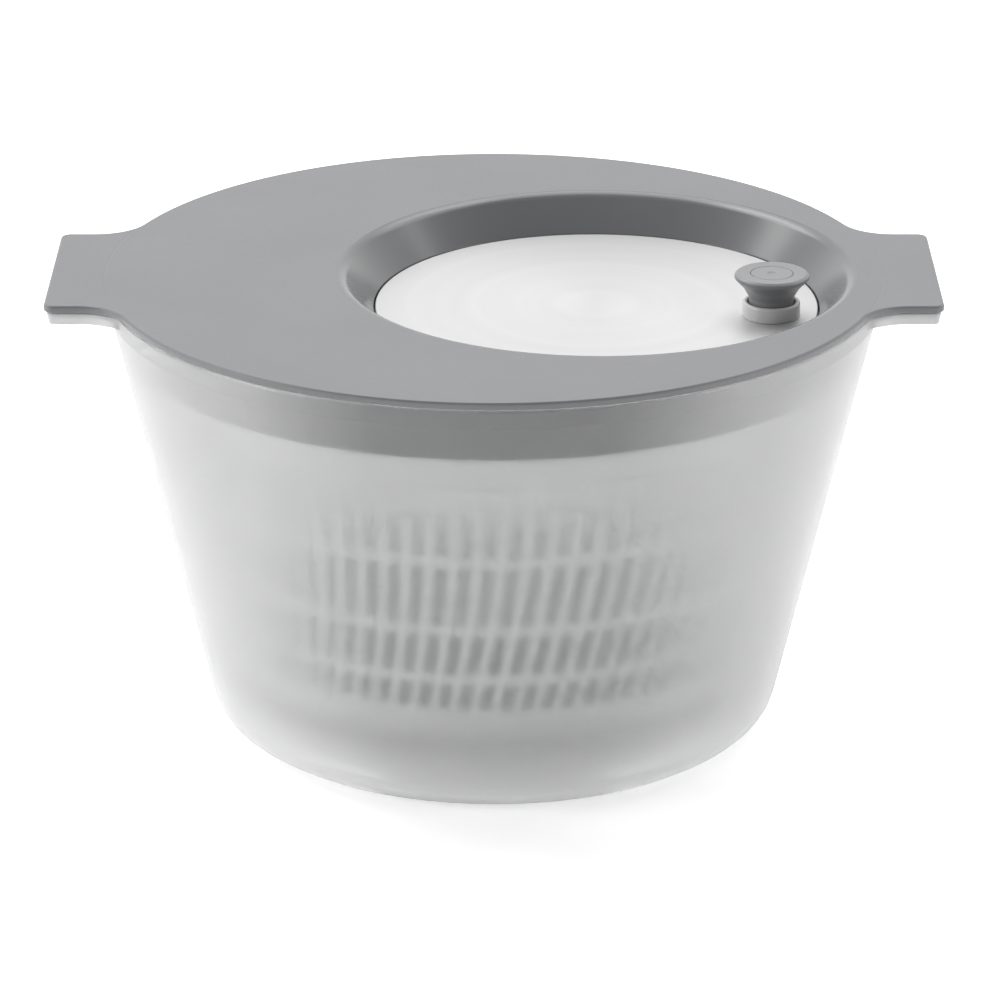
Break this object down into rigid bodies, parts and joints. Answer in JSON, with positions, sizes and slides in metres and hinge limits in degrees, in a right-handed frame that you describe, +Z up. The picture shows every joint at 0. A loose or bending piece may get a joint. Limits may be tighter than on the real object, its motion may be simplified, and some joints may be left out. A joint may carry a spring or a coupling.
{
  "type": "salad spinner",
  "caption": "Round frosted salad spinner with eared lid, offset crank disc and finger knob; the crank turns a slotted basket inside the bowl.",
  "frame": {"origin": "on the bowl's axis, on the surface that the bowl stands on", "axes": "+Z up along the bowl's axis; +X towards the ear beside the crank disc; the knob's side is at -Y at rest"},
  "size_m": [0.31, 0.2728, 0.1672],
  "materials": {
    "frosted_plastic": "frosted translucent",
    "white_plastic": "satin",
    "grey_plastic": "satin",
    "inner_grey_plastic": "satin",
    "knob_plastic": "satin",
    "pale_plastic": "satin",
    "bearing_plastic": "smooth",
    "spun_steel": "fine circular brushing",
    "steel": "plain"
  },
  "bodies": {
    "bowl": {"bowl": "frosted_plastic", "pivot_pin": "steel"},
    "pivot": {"pivot_cap": "bearing_plastic"},
    "basket": {"basket": "white_plastic"},
    "lid": {"lid_cover": "grey_plastic", "lid_base": "inner_grey_plastic", "lid_screws": "steel", "disc_bush": "bearing_plastic", "pinion_bush": "bearing_plastic"},
    "crank": {"disc_plate": "spun_steel", "disc_carrier": "inner_grey_plastic", "drive_gear": "bearing_plastic", "hub_washer": "steel", "hub_screw": "steel", "knob_collar": "pale_plastic", "knob_axle": "steel", "knob_washer": "steel", "knob_screw": "steel"},
    "knob": {"knob_body": "knob_plastic", "knob_cap": "knob_plastic"},
    "driver": {"pinion": "bearing_plastic", "pinion_shaft": "steel", "drive_plate": "inner_grey_plastic", "drive_washer": "steel", "drive_screw": "steel"}
  },
  "joints": [
    {"name": "lid_lift", "type": "slide", "parent": "bowl", "child": "lid", "axis": [0, 0, 1], "range_m": [0, 0.32]},
    {"name": "basket_spin", "type": "hinge", "parent": "bowl", "child": "pivot", "pos_m": [0, 0, 0], "axis": [0, 0, 1], "continuous": true},
    {"name": "basket_lift", "type": "slide", "parent": "pivot", "child": "basket", "axis": [0, 0, 1], "range_m": [0, 0.16]},
    {"name": "driver_spin", "type": "hinge", "parent": "lid", "child": "driver", "pos_m": [0, 0, 0], "axis": [0, 0, 1], "continuous": true},
    {"name": "crank_spin", "type": "hinge", "parent": "lid", "child": "crank", "pos_m": [0.036, 0, 0], "axis": [0, 0, 1], "continuous": true},
    {"name": "knob_spin", "type": "hinge", "parent": "crank", "child": "knob", "pos_m": [0.09682, -0.01204, 0], "axis": [0, 0, 1], "continuous": true}
  ],
  "couplings": [
    {"joint": "basket_lift", "follows": "lid_lift", "ratio": 0.5},
    {"joint": "driver_spin", "follows": "basket_spin", "ratio": 1},
    {"joint": "crank_spin", "follows": "basket_spin", "ratio": -0.25}
  ]
}
